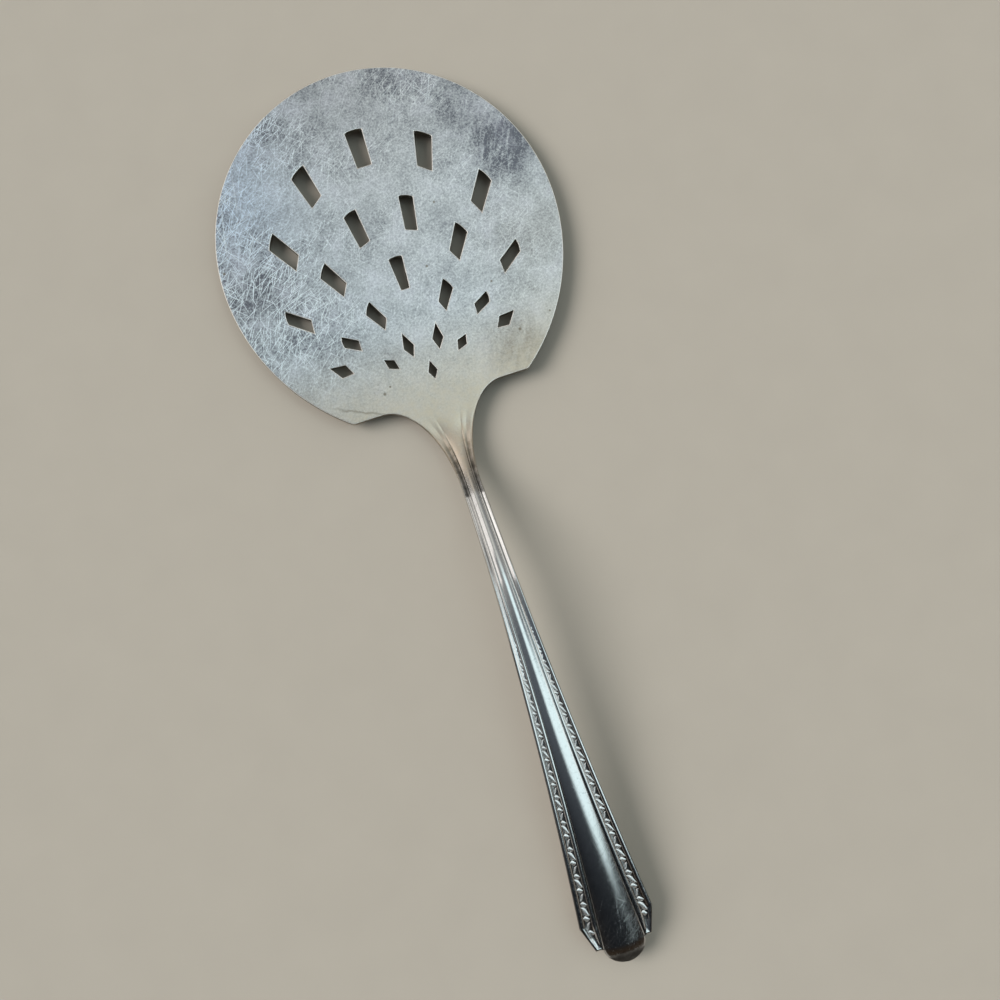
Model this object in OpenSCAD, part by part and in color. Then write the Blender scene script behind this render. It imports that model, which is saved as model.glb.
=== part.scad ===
// Tomato server: a pierced round blade on an arched handle with bordered panels.
// Millimetres. +Z is up and +Y points from the handle's tip to the blade's front.
// The origin is under the middle of the object, on the surface that it rests on.

/* [Overall] */
// Length from the handle's tip to the blade's front
overall_length = 200; // [180:1:220]

/* [Blade] */
// Width of the blade at its widest
blade_width = 75.4; // [70:0.2:84]
// Length of the blade from its front to the shoulder line
blade_length = 77; // [72:0.5:84]
// Length of the rounded front, down to the widest line
front_length = 40; // [34:0.5:46]
// Thickness of the blade's sheet
blade_thickness = 1.3; // [1:0.1:2]
// Width across the sharp corners of the shoulders, before they are rounded
shoulder_width = 39.6; // [34:0.2:46]
// Radius of the rounded shoulder corners
shoulder_radius = 1.6; // [0.5:0.1:3]

/* [Neck] */
// Width of the neck at its narrowest
neck_width = 4.5; // [3.6:0.1:6]
// Spread of the flare on each side, from the neck to the shoulder line
flare_spread = 11.2; // [8:0.1:13]
// Length of the flare, from the shoulder line back to the neck
flare_length = 20; // [17:0.5:24]
// Thickness of the neck under its fillets
neck_thickness = 2.2; // [1.8:0.1:3]

/* [Brazed seam] */
// Setback of the seam's upper edge from the shoulder line
seam_setback = 2.5; // [1:0.1:4]
// Length of the sloping lap between blade and handle
lap_length = 4; // [2:0.1:6]
// Height of the blunt nose at the lap's upper edge
lap_nose = 0.2; // [0.1:0.05:0.4]
// Thickness of the solder in the lap
solder_thickness = 0.1; // [0.05:0.01:0.3]

/* [Handle] */
// Width of the handle at its end corners
handle_width = 15.6; // [13:0.2:18]
// Length of the rounded tip beyond the panels
tip_length = 3.9; // [2.5:0.1:6]
// Length of the slanted panel ends
panel_end_length = 5.4; // [3:0.1:8]
// Inset of each slanted panel end
panel_end_inset = 1.8; // [0.5:0.1:2.4]
// Width of the spine at the neck
spine_neck_width = 1.7; // [1.2:0.1:2.4]
// Width of the spine at the end corners
spine_end_width = 8; // [6:0.1:9]
// Rise of the spine's crown over its edges, at the end corners
spine_crown = 1.1; // [0.4:0.1:1.6]
// Thickness of the handle at its end, under the fillets
end_thickness = 1.5; // [1.1:0.1:2.2]
// Height of the arch's underside over the surface
arch_height = 9.5; // [5:0.5:14]
// Distance from the seam's lower edge to the top of the arch
arch_setback = 37; // [28:0.5:50]

/* [Relief] */
// Depth of the border panels under their fillets
panel_depth = 0.35; // [0.1:0.05:0.6]
// Depth of the groove beside the spine
groove_depth = 0.25; // [0.1:0.05:0.5]
// Drop of the sloping outer edge
edge_drop = 0.6; // [0.2:0.05:0.8]

/* [Hidden] */

// Places along the length
front_y = overall_length / 2;
tip_y = -overall_length / 2;
widest_y = front_y - front_length;
shoulder_y = front_y - blade_length;
neck_y = shoulder_y - flare_length;
nose_y = shoulder_y - seam_setback;
lap_end_y = nose_y - lap_length;
arch_top_y = lap_end_y - arch_setback;
panel_end_y = tip_y + tip_length;
corner_y = panel_end_y + panel_end_length;

// Half widths
blade_half = blade_width / 2;
neck_half = neck_width / 2;
handle_half = handle_width / 2;
spine_neck = spine_neck_width / 2;
spine_end = spine_end_width / 2;

// The blade's side is an arc, upright at the widest line, that ends in the shoulder corner
side_drop = widest_y - shoulder_y;
side_run = blade_half - shoulder_width / 2;
side_radius = (side_run * side_run + side_drop * side_drop) / (2 * side_run);
side_x = blade_half - side_radius;
side_turn = asin((side_drop - shoulder_radius) / (side_radius - shoulder_radius));
corner_x = side_x + (side_radius - shoulder_radius) * cos(side_turn);

// The lap's slope, on the handle's side and on the blade's side of the solder
lap_top = blade_thickness - lap_nose;
lap_slope = lap_top / lap_length;
solder_rise = solder_thickness * sqrt(1 + lap_slope * lap_slope);
solder_width = solder_rise / lap_slope;

// How fast the handle and its spine widen, and how the arch falls to the tip
handle_growth = 1.8;
spine_growth = 2.3;
arch_fall = 1.8;

// Places across each border, as shares of the way from the spine's edge to the handle's edge
groove_at = 0.05;
inner_fillet_from = 0.11;
inner_fillet_to = 0.21;
panel_from = 0.28;
panel_to = 0.72;
outer_fillet_from = 0.79;
outer_fillet_to = 0.88;
border = [
    [groove_at, groove_depth],
    [inner_fillet_from, 0],
    [inner_fillet_to, 0],
    [panel_from, panel_depth],
    [panel_to, panel_depth],
    [outer_fillet_from, 0],
    [outer_fillet_to, 0],
    [1, edge_drop]
];
border_count = len(border);

// Reach of a cutting shape past the faces that it goes through
overshoot = 1;
// Slope of the tip's side wall, as its spread from top to bottom
tip_draft = 0.15;
// Length over which a panel's blunt end steps in to the tip
panel_end_step = 0.1;
// Turn of the tip's outline where it is cut off flat
tip_turn = 80;

// Numbers of steps along the curves
front_steps = 36;
side_steps = 24;
corner_steps = 6;
flare_steps = 8;
lap_steps = 4;
rise_steps = 10;
stem_steps = 30;
panel_end_steps = 3;
tip_steps = 7;
spine_steps = 4;

// Long piercings: distance from the axis, height over the shoulder line, lean from the axis,
// length, width at the outer end, width at the inner end, slant of the ends
slots = [
    [0, 58.8, 0, 8.6, 3.9, 3.2, 0],
    [13.5, 53.9, 14.6, 8.1, 3.85, 3.15, 1.4],
    [5.9, 41.3, 8.2, 7.8, 3.05, 2.55, 0.6],
    [22.6, 41.2, 32.8, 7.5, 3.3, 3, 1.9],
    [14.2, 31.8, 31, 6.5, 3.1, 2.6, 1.6],
    [0, 28.8, 0, 7.4, 3, 1.8, 0],
    [24, 25.1, 53, 5.9, 2.4, 2.5, 1.7],
    [7.8, 21.2, 30.6, 5.2, 2.6, 2, 1.5],
    [14.8, 17, 61, 3.75, 2.15, 2.05, 1.2]
];
// Kite piercings: distance from the axis, height over the shoulder line, lean from the axis,
// length to the outer point, length to the inner point, half width
kites = [
    [3.3, 12.5, 9, 3.4, 2.4, 1.18],
    [18.2, 11.7, 60, 3.1, 2.15, 1.43],
    [8, 10, 42, 1.9, 2, 1.08],
    [0, 5.9, 0, 2.4, 1.8, 1]
];

silver = [0.78, 0.78, 0.77];
solder_grey = [0.66, 0.66, 0.64];

// Smooth step from 0 to 1, level at both ends
function ease(t) = let(c = min(max(t, 0), 1)) c * c * (3 - 2 * c);

// Half width of the flare, stem and slanted panel ends at a place along the length
function half_width(y) =
    y >= neck_y
    ? neck_half + flare_spread * (1 - sqrt(1 - pow((y - neck_y) / flare_length, 2)))
    : y >= corner_y
    ? neck_half + (handle_half - neck_half) * pow((neck_y - y) / (neck_y - corner_y), handle_growth)
    : handle_half - panel_end_inset * (corner_y - y) / panel_end_length;

// Half width of the spine: it keeps its share of the flare, then widens towards the end
function spine_half(y) =
    y >= neck_y
    ? spine_neck * half_width(y) / neck_half
    : spine_neck + (spine_end - spine_neck) * pow((neck_y - y) / (neck_y - corner_y), spine_growth);

// Height of the handle's underside: the lap's slope, the rise to the arch, the fall to the tip
function underside(y) =
    y >= lap_end_y
    ? (y - lap_end_y) * lap_slope
    : y >= arch_top_y
    ? arch_height * ease((lap_end_y - y) / arch_setback)
    : arch_height * (1 - pow((arch_top_y - y) / (arch_top_y - tip_y), arch_fall));

// Height of the handle's fillets
function upper_side(y) =
    y >= lap_end_y
    ? blade_thickness
    : underside(y) + (
        y >= neck_y
        ? blade_thickness
            + (neck_thickness - blade_thickness) * ease((lap_end_y - y) / (lap_end_y - neck_y))
        : neck_thickness + (end_thickness - neck_thickness) * (neck_y - y) / (neck_y - tip_y)
    );

// The relief fades out where the neck flares into the blade
function relief(y) = ease((lap_end_y - y) / (lap_end_y - neck_y));

// Rise of the spine's crown where the spine has a half width of s
function crown(y, s) = spine_crown * s / spine_end * relief(y);

// Right half of the spine's profile, from the axis to its edge
function spine_profile(y, s) = [
    for (j = [0 : spine_steps])
        [s * j / spine_steps, upper_side(y) + crown(y, s) * (1 - pow(j / spine_steps, 2))]
];

// Right half of a cross-section through the stem, from the axis to the lower edge
function stem_half(y) =
    let (w = half_width(y), s = spine_half(y), top = upper_side(y))
    concat(
        spine_profile(y, s),
        [for (b = border) [s + (w - s) * b[0], top - b[1] * relief(y)]],
        [[w, underside(y)]]
    );

// Right half of a cross-section through the rounded tip, whose side wall replaces the border
function tip_half(y, s) =
    let (top = upper_side(y), wall = top - underside(y))
    concat(
        spine_profile(y, s),
        [for (k = [1 : border_count + 1])
            [s + tip_draft * k / (border_count + 1), top - wall * k / (border_count + 1)]]
    );

// A whole cross-section from the left lower edge over the top to the right lower edge
function ring(y, half) = concat(
    [for (k = [len(half) - 1 : -1 : 1]) [-half[k][0], y, half[k][1]]],
    [for (p = half) [p[0], y, p[1]]]
);

// Places of the stem's cross-sections, from the seam to the blunt panel ends
lap_places = [for (i = [0 : lap_steps]) nose_y - lap_length * i / lap_steps];
rise_places = [for (i = [1 : rise_steps]) lap_end_y - (lap_end_y - neck_y) * i / rise_steps];
stem_places = [for (i = [1 : stem_steps]) neck_y - (neck_y - corner_y) * i / stem_steps];
panel_end_places = [
    for (i = [1 : panel_end_steps]) corner_y - panel_end_length * i / panel_end_steps
];
places = concat(lap_places, rise_places, stem_places, panel_end_places);

// The tip's outline is a quarter turn of an ellipse, cut off flat at its end
tip_from_y = panel_end_y - panel_end_step;
tip_reach = (tip_from_y - tip_y) / sin(tip_turn);
tip_half_width = spine_half(panel_end_y) - tip_draft;
tip_rings = [
    for (i = [0 : tip_steps])
        let (a = tip_turn * i / tip_steps, y = tip_from_y - tip_reach * sin(a))
        ring(y, tip_half(y, tip_half_width * cos(a)))
];

// Right edge of the blade, from the middle of its front to the end of its lap
front_edge = [
    for (i = [0 : front_steps])
        let (a = 90 - 90 * i / front_steps)
        [blade_half * cos(a), widest_y + front_length * sin(a)]
];
side_edge = [
    for (i = [1 : side_steps])
        let (a = side_turn * i / side_steps)
        [side_x + side_radius * cos(a), widest_y - side_radius * sin(a)]
];
corner_edge = [
    for (i = [1 : corner_steps])
        let (a = side_turn + (90 - side_turn) * i / corner_steps)
        [corner_x + shoulder_radius * cos(a), shoulder_y + shoulder_radius * (1 - sin(a))]
];
nose_turn = acos((nose_y - neck_y) / flare_length);
flare_edge = [
    for (i = [0 : flare_steps - 1])
        let (y = neck_y + flare_length * cos(nose_turn * i / flare_steps))
        [half_width(y), y]
];
lap_edge = [for (y = lap_places) [half_width(y), y]];
right_edge = concat(front_edge, side_edge, corner_edge, flare_edge, lap_edge);

// Outline of the blade with its lap, seen from above
module blade_outline() {
    left_edge = [for (k = [len(right_edge) - 1 : -1 : 1]) [-right_edge[k][0], right_edge[k][1]]];
    polygon(concat(right_edge, left_edge));
}

// A lengthwise profile of [y, z] points, as wide as the blade
module lengthwise(profile) {
    rotate([90, 0, 90])
        linear_extrude(blade_width, center = true)
            polygon(profile);
}

// One long piercing with slanted ends, on the right of the axis
module slot_cut(row) {
    reach = row[3] / 2;
    outer = row[4] / 2;
    inner = row[5] / 2;
    slant = row[6] / 2;
    translate([row[0], shoulder_y + row[1]])
        rotate(-row[2])
            polygon([
                [-outer, reach + slant],
                [outer, reach - slant],
                [inner, -reach - slant],
                [-inner, -reach + slant]
            ]);
}

// One kite piercing, on the right of the axis
module kite_cut(row) {
    translate([row[0], shoulder_y + row[1]])
        rotate(-row[2])
            polygon([[0, row[3]], [row[5], 0], [0, -row[4]], [-row[5], 0]]);
}

// A piercing on the axis stands alone, and the others have a mate on the left
module mated(row) {
    children();
    if (row[0] > 0)
        mirror([1, 0])
            children();
}

module piercings() {
    for (row = slots)
        mated(row)
            slot_cut(row);
    for (row = kites)
        mated(row)
            kite_cut(row);
}

// Flat pierced blade, whose root slopes away under the handle's flare
module blade() {
    color(silver)
        difference() {
            intersection() {
                linear_extrude(blade_thickness)
                    blade_outline();
                lengthwise([
                    [lap_end_y + solder_width, 0],
                    [front_y + overshoot, 0],
                    [front_y + overshoot, blade_thickness],
                    [nose_y, blade_thickness],
                    [nose_y, lap_top - solder_rise]
                ]);
            }
            translate([0, 0, -overshoot])
                linear_extrude(blade_thickness + 2 * overshoot)
                    piercings();
        }
}

// Film of solder that fills the sloping lap
module solder_film() {
    color(solder_grey)
        intersection() {
            linear_extrude(blade_thickness)
                blade_outline();
            lengthwise([
                [lap_end_y, 0],
                [lap_end_y + solder_width, 0],
                [nose_y, lap_top - solder_rise],
                [nose_y, lap_top]
            ]);
        }
}

// Struck handle: flare, neck, stem with its spine and bordered panels, and rounded tip
module handle() {
    rings = concat([for (y = places) ring(y, stem_half(y))], tip_rings);
    count = len(rings[0]);
    last = len(rings) - 1;
    skin = [
        for (i = [0 : last - 1], j = [0 : count - 1])
            let (
                a = i * count + j,
                b = i * count + (j + 1) % count,
                c = b + count,
                d = a + count
            )
            each [[a, b, c], [a, c, d]]
    ];
    seam_cap = [for (j = [1 : count - 2]) [0, j + 1, j]];
    tip_first = last * count;
    tip_last = tip_first + count - 1;
    tip_middle = (count - 1) / 2;
    tip_cap = [
        for (j = [0 : tip_middle - 1])
            let (a = tip_first + j, b = a + 1, c = tip_last - j - 1, d = tip_last - j)
            each b == c ? [[a, b, d]] : [[a, b, c], [a, c, d]]
    ];
    color(silver)
        polyhedron([for (r = rings) each r], concat(seam_cap, skin, tip_cap));
}

blade();
solder_film();
handle();
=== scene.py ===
"""Dressed model of a flat tomato server: a round pierced blade on an arched, bordered handle.

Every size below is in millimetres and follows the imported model: +Y runs from the handle's tip to the
blade's front, +X across, and +Z up from the surface that the blade rests on.
"""

import logging
import math
from dataclasses import dataclass
from enum import Enum
from typing import Any, Callable, Iterable, Sequence

import bpy
import numpy as np
from mathutils import Matrix, Vector

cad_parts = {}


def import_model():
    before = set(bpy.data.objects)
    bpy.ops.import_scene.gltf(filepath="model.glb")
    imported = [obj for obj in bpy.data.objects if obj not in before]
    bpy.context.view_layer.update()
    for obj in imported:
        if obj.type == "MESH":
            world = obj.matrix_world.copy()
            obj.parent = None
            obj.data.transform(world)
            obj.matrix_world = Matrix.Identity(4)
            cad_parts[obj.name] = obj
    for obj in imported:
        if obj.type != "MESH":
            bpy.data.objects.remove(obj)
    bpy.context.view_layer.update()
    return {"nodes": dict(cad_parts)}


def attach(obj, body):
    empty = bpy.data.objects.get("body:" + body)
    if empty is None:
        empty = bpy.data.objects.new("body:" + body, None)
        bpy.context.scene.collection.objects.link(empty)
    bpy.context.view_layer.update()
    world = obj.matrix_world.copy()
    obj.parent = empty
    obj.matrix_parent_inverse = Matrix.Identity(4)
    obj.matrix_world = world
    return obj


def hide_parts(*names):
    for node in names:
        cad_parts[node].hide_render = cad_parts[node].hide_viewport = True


LOG = logging.getLogger("tomato_server")
MM = 0.001
BODY = "root"
CLOSE = 0.01

Colour = tuple[float, float, float]
Point = tuple[float, float, float]


class Slot(Enum):
    """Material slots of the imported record."""

    BLADE = "blade_silver"
    HANDLE = "handle_silver"
    SOLDER = "solder"


class Side(Enum):
    """The two borders of the handle, as the sign of their place across."""

    LEFT = -1
    RIGHT = 1


class Zone(Enum):
    """Stretches of the handle's cross-section, from its crown round to the middle of its back."""

    SPINE = "spine"
    BORDER = "border"
    ROLL = "roll"
    WALL = "wall"
    FOOT = "foot"
    BACK = "back"


Station = tuple[Zone, float]
HalfSection = list[Point]
FIRST_LEAF_Y = {Side.LEFT: -87.7, Side.RIGHT: -90.4}


def ease(share: float) -> float:
    """Return a smooth step from 0 to 1 that is level at both ends."""
    held = min(max(share, 0.0), 1.0)
    return held * held * (3 - 2 * held)


def bend(
    start: Sequence[float],
    corner: Sequence[float],
    end: Sequence[float],
    share: float,
) -> tuple[float, float]:
    """Find a point on the rounded corner between two lines.

    Args:
        start: Where the rounding leaves the first line.
        corner: Where the two lines would meet.
        end: Where the rounding joins the second line.
        share: How far round the point is, from 0 to 1.

    Returns:
        The point's two coordinates.
    """
    a = (1 - share) ** 2
    b = 2 * share * (1 - share)
    c = share ** 2
    return (
        a * start[0] + b * corner[0] + c * end[0],
        a * start[1] + b * corner[1] + c * end[1],
    )


def math_node(operation: str, swapped: bool = False) -> Callable[..., "Sock"]:
    """Make a method that adds a Math node to a socket's tree.

    Args:
        operation: Blender's name of the sum.
        swapped: Whether the other value comes first.

    Returns:
        The method, which takes the other value and returns the node's output.
    """

    def method(self: "Sock", other: Any = 0.0) -> "Sock":
        """Add the node and return its output."""
        pair = (other, self) if swapped else (self, other)
        return self.sketch.out("ShaderNodeMath", {"operation": operation}, {0: pair[0], 1: pair[1]})

    return method


class Sock:
    """A shader socket that can be used in a Python expression."""

    def __init__(self, sketch: "Sketch", socket: bpy.types.NodeSocket) -> None:
        """Wrap one output socket of a sketch's node tree."""
        self.sketch = sketch
        self.socket = socket

    __add__ = math_node("ADD")
    __radd__ = math_node("ADD", swapped=True)
    __sub__ = math_node("SUBTRACT")
    __rsub__ = math_node("SUBTRACT", swapped=True)
    __mul__ = math_node("MULTIPLY")
    __rmul__ = math_node("MULTIPLY", swapped=True)
    __truediv__ = math_node("DIVIDE")
    __abs__ = math_node("ABSOLUTE")
    least = math_node("MINIMUM")
    most = math_node("MAXIMUM")

    def step(self, low: float, high: float) -> "Sock":
        """Return a smooth step from 0 at low to 1 at high."""
        return self.sketch.out(
            "ShaderNodeMapRange",
            {"interpolation_type": "SMOOTHSTEP"},
            {"Value": self, "From Min": low, "From Max": high},
        )

    def band(self, low: float, high: float, soft: float) -> "Sock":
        """Return 1 between low and high, with edges that fade over soft on either side."""
        return self.step(low - soft, low + soft) * (1 - self.step(high - soft, high + soft))


class Sketch:
    """A node tree that is written as expressions."""

    def __init__(self, tree: bpy.types.NodeTree) -> None:
        """Take over a node tree and empty it."""
        self.tree = tree
        self.tree.nodes.clear()

    def node(
        self,
        kind: str,
        settings: dict[str, Any] | None = None,
        sockets: dict[str | int, Any] | None = None,
    ) -> bpy.types.Node:
        """Add any node.

        Args:
            kind: Blender's name of the node's type.
            settings: Properties of the node, which are set first.
            sockets: Values or links of its inputs, by name or number.

        Returns:
            The new node.
        """
        node = self.tree.nodes.new(kind)
        for key, value in (settings or {}).items():
            setattr(node, key, value)
        for key, value in (sockets or {}).items():
            target = node.inputs[key]
            if isinstance(value, Sock):
                self.tree.links.new(value.socket, target)
            else:
                target.default_value = value
        return node

    def out(
        self,
        kind: str,
        settings: dict[str, Any] | None = None,
        sockets: dict[str | int, Any] | None = None,
        name: str | int = 0,
    ) -> Sock:
        """Add any node and return one of its outputs.

        Args:
            kind: Blender's name of the node's type.
            settings: Properties of the node, which are set first.
            sockets: Values or links of its inputs, by name or number.
            name: Name or number of the output.

        Returns:
            The output, ready for an expression.
        """
        return Sock(self, self.node(kind, settings, sockets).outputs[name])

    def mix(self, factor: Any, first: Any, second: Any) -> Sock:
        """Mix two colours.

        Args:
            factor: Share of the second colour.
            first: Colour at 0, as a socket or three numbers.
            second: Colour at 1, as a socket or three numbers.

        Returns:
            The mixed colour.
        """
        ends = [c if isinstance(c, Sock) else (*c, 1.0) for c in (first, second)]
        return self.out("ShaderNodeMix", {"data_type": "RGBA"}, {0: factor, 6: ends[0], 7: ends[1]}, 2)

    def noise(self, place: Sock, scale: float, detail: float = 2.0, rough: float = 0.5) -> Sock:
        """Return soft noise, about 0.5, whose patches are about 1 / scale across."""
        return self.out(
            "ShaderNodeTexNoise",
            {},
            {"Vector": place, "Scale": scale, "Detail": detail, "Roughness": rough},
            "Fac",
        )

    def drawn(self, place: Sock, turn: float, length: float, width: float) -> Sock:
        """Turn the plan to a direction from +X, in degrees, and measure it in lengths and widths."""
        return self.out(
            "ShaderNodeMapping",
            {"vector_type": "TEXTURE"},
            {
                "Vector": place,
                "Location": (3.7 * turn, 1.3 * length, 0.0),
                "Rotation": (0.0, 0.0, math.radians(turn)),
                "Scale": (length, width, 1000.0),
            },
        )

    def along(self, place: Sock, turn: float, length: float, width: float) -> Sock:
        """Return soft noise, about 0.5, that is drawn out one way."""
        return self.noise(self.drawn(place, turn, length, width), 1.0, 1.0)

    def cuts(self, place: Sock, turn: float, length: float, wide: float, cover: float) -> Sock:
        """Scatter straight scratches that all run one way.

        Args:
            place: Where on the surface, in millimetres.
            turn: Direction of the scratches from +X, in degrees.
            length: Their length.
            wide: Their width.
            cover: Share of the surface that they cover.

        Returns:
            How much of a scratch shows, from 0 to 1.
        """
        reach = math.sqrt(cover / math.pi)
        drawn = self.drawn(place, turn, length / (2 * reach), wide / (2 * reach))
        away = self.out(
            "ShaderNodeTexVoronoi",
            {"voronoi_dimensions": "2D"},
            {"Vector": drawn, "Scale": 1.0},
            "Distance",
        )
        return 1 - away.step(0.3 * reach, reach)

    def spot(self, place: Sock, x: float, y: float, inner: float, outer: float) -> Sock:
        """Return 1 at a place on the plan that fades out from an inner to an outer radius."""
        flat = self.out("ShaderNodeVectorMath", {"operation": "MULTIPLY"}, {0: place, 1: (1.0, 1.0, 0.0)})
        middle = (x, y, 0.0)
        away = self.out("ShaderNodeVectorMath", {"operation": "DISTANCE"}, {0: flat, 1: middle}, "Value")
        return 1 - away.step(inner, outer)


@dataclass(frozen=True)
class Silver:
    """Worn silver plate: scratched satin on the blade, polished on the handle, dark patina in its hollows,
    with painted shade, highlights and reflections.
    """

    name: str
    shade: Colour = (0.15, 0.155, 0.18)
    gleam: Colour = (0.965, 0.985, 0.985)
    frost: Colour = (0.89, 0.96, 0.995)
    # Colour of the painted bluish reflection on the blade's upper left.
    bluish_reflection: Colour = (0.76, 0.87, 1.0)
    violet: Colour = (0.52, 0.48, 0.60)
    # Warm tone over the shoulders, also used for painted warm light on the blade's lower right.
    warm: Colour = (0.60, 0.50, 0.375)
    # Colour of the painted highlight on the blade's rounded rims.
    rim: Colour = (1.0, 0.98, 0.93)
    polish: Colour = (0.58, 0.575, 0.56)
    # Near black, for patina in hollows and for painted shade.
    dark_patina_and_shade: Colour = (0.03, 0.026, 0.023)
    stain: Colour = (0.17, 0.135, 0.09)
    wall: Colour = (0.16, 0.13, 0.09)
    satin_level: float = 0.485
    satin_rough: float = 0.36
    polish_rough: float = 0.13
    hairlines: tuple[tuple[float, ...], ...] = (
        (57, 6.0, 0.17, 0.09),
        (36, 7.5, 0.17, 0.09),
        (70, 7.0, 0.16, 0.08),
        (20, 5.5, 0.16, 0.06),
        (105, 5.0, 0.16, 0.05),
        (-42, 5.5, 0.16, 0.04),
    )
    scratches: tuple[tuple[float, ...], ...] = (
        (24, 12.0, 0.22, 0.016),
        (40, 16.0, 0.22, 0.018),
        (62, 14.0, 0.23, 0.024),
        (80, 18.0, 0.22, 0.016),
        (103, 11.0, 0.22, 0.008),
        (-56, 11.0, 0.22, 0.008),
        (6, 14.0, 0.22, 0.006),
    )
    patches: tuple[tuple[float, ...], ...] = (
        (31.0, 73.0, 2.5, 9.5, 1.15),
        (24.0, 82.0, 0.5, 9.0, 0.55),
        (-20.5, 73.0, 0.5, 6.0, 0.2),
        (-33.0, 58.0, 1.0, 8.0, 0.35),
        # Painted shade over the right shoulder.
        (19.0, 27.0, 2.0, 13.0, 0.75),
    )
    pits: tuple[tuple[float, ...], ...] = (
        (12.0, 64.9, 0.38),
        (6.0, 51.5, 0.42),
        (18.3, 43.9, 0.36),
        (28.3, 33.7, 0.32),
        (20.8, 31.8, 0.48),
        (-11.4, 27.2, 0.55),
        (-9.8, 28.4, 0.35),
        (-36.4, 63.6, 0.5),
    )

    def material(self) -> bpy.types.Material:
        """Build the finish.

        Returns:
            The material, which reads only object coordinates and the piece's attribute of dark patina and
            painted shade.
        """
        material = bpy.data.materials.new(self.name)
        material.use_nodes = True
        sketch = Sketch(material.node_tree)
        metres = sketch.out("ShaderNodeTexCoord", {}, {}, "Object")
        place = sketch.out("ShaderNodeVectorMath", {"operation": "SCALE"}, {0: metres, "Scale": 1 / MM})
        axes = sketch.node("ShaderNodeSeparateXYZ", {}, {0: place})
        x, y = (Sock(sketch, axes.outputs[k]) for k in range(2))
        facing = sketch.out("ShaderNodeNewGeometry", {}, {}, "Normal")
        upright = abs(Sock(sketch, sketch.node("ShaderNodeSeparateXYZ", {}, {0: facing}).outputs[2]))
        patina_and_shade = sketch.out("ShaderNodeAttribute", {"attribute_name": "patina_and_shade"}, {}, "Fac")

        satin = y.step(0, 9)
        wavy = self._wavy(sketch, place)
        worn = self._wear(sketch, place, x, y)
        hairs = self._laid(sketch, wavy, self.hairlines)
        marks = self._laid(sketch, wavy, self.scratches) * worn
        mottle = sketch.noise(place, 0.7, 4.0, 0.65)
        grain = sketch.noise(place, 2.2, 2.0, 0.7)
        tint = sketch.noise(place, 0.13, 3.0, 0.6)
        matt_and_shaded = self._patches(sketch, place, y)

        level = self.satin_level + (grain - 0.5) * (0.95 + 0.75 * worn)
        level = level + (mottle - 0.5) * (0.40 + 0.9 * worn) + (tint - 0.5) * 0.7
        level = level + hairs * (0.08 + worn) - worn * 0.21 - matt_and_shaded * 0.48
        # Painted reflection: the blade's upper left is made lighter and bluer; painted shade: its right
        # side is made darker.
        painted_blue_reflection = (1 - x.step(-30, -4)) * y.step(54, 78)
        level = level - x.step(8, 32) * 0.08 + painted_blue_reflection * 0.15
        bright = sketch.mix(x.step(-30, 8), sketch.mix(painted_blue_reflection, self.frost, self.bluish_reflection), self.gleam)
        tone = sketch.mix(level, self.shade, bright)
        tone = sketch.mix(tint.step(0.45, 0.75) * 0.2, tone, self.violet)
        # Painted warm light on the blade's lower right, mixed with the warm tone over the shoulders.
        painted_warm_light = x.step(8, 32) * (1 - y.step(50, 70)) * 0.17
        tone = sketch.mix((1 - y.step(17, 44)) * (0.45 + 0.7 * mottle) + painted_warm_light, tone, self.warm)
        polished = sketch.mix((mottle + grain).step(1.0, 1.4) * 0.25, self.polish, self.shade)
        tone = sketch.mix(satin, polished, tone)
        tone = sketch.mix(marks * (0.25 + 0.65 * satin), tone, self.frost)
        tone = sketch.mix(self._stains(sketch, place), tone, self.stain)
        # Painted highlight: the rounded rims of the blade's edge and piercings are painted near white, and
        # made rougher.
        rub_wear_and_rim_highlight = upright.step(0.15, 0.45) * (1 - upright.step(0.955, 0.998)) * y.step(17, 24)
        tone = sketch.mix(rub_wear_and_rim_highlight, tone, self.rim)
        tone = sketch.mix((1 - upright.step(0.03, 0.25)) * satin * 0.9, tone, self.wall)
        # The attribute darkens the grooves and panel floors with patina, darkens the outer edges, and
        # paints shade at the neck and the tip.
        patina_and_painted_shade = (patina_and_shade + (mottle - 0.5) * 0.6 * patina_and_shade.step(0.05, 0.3)).step(0.10, 0.85)
        tone = sketch.mix(patina_and_painted_shade * 0.92, tone, self.dark_patina_and_shade)

        rough = self.polish_rough + satin * (self.satin_rough - self.polish_rough)
        rough = rough + (grain - 0.5) * 0.12 + matt_and_shaded * satin * 0.05 + patina_and_painted_shade * 0.28
        rough = rough + (1 - y.step(-98, -72)) * (0.02 + (grain - 0.5) * 0.2) + rub_wear_and_rim_highlight * 0.15
        rough = rough + (marks + hairs * worn) * (0.25 - satin * 0.15)
        height = marks * -0.6 - hairs * 0.3 + grain * (0.2 + 0.5 * satin)
        normal = sketch.out("ShaderNodeBump", {}, {"Strength": 0.25, "Distance": 0.00003, "Height": height})
        shader = sketch.out(
            "ShaderNodeBsdfPrincipled",
            {},
            {"Base Color": tone, "Metallic": 1.0, "Roughness": rough, "Normal": normal},
        )
        sketch.node("ShaderNodeOutputMaterial", {}, {"Surface": shader})
        return material

    @staticmethod
    def _wavy(sketch: Sketch, place: Sock) -> Sock:
        """Bend the plan a little, so that scratches laid out on it aren't quite straight."""
        sway = sketch.noise(place, 0.06, 1.0)
        shift = sketch.out("ShaderNodeCombineXYZ", {}, {0: sway * 2.5, 1: sway * -2, 2: 0.0})
        return sketch.out("ShaderNodeVectorMath", {"operation": "ADD"}, {0: place, 1: shift})

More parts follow.
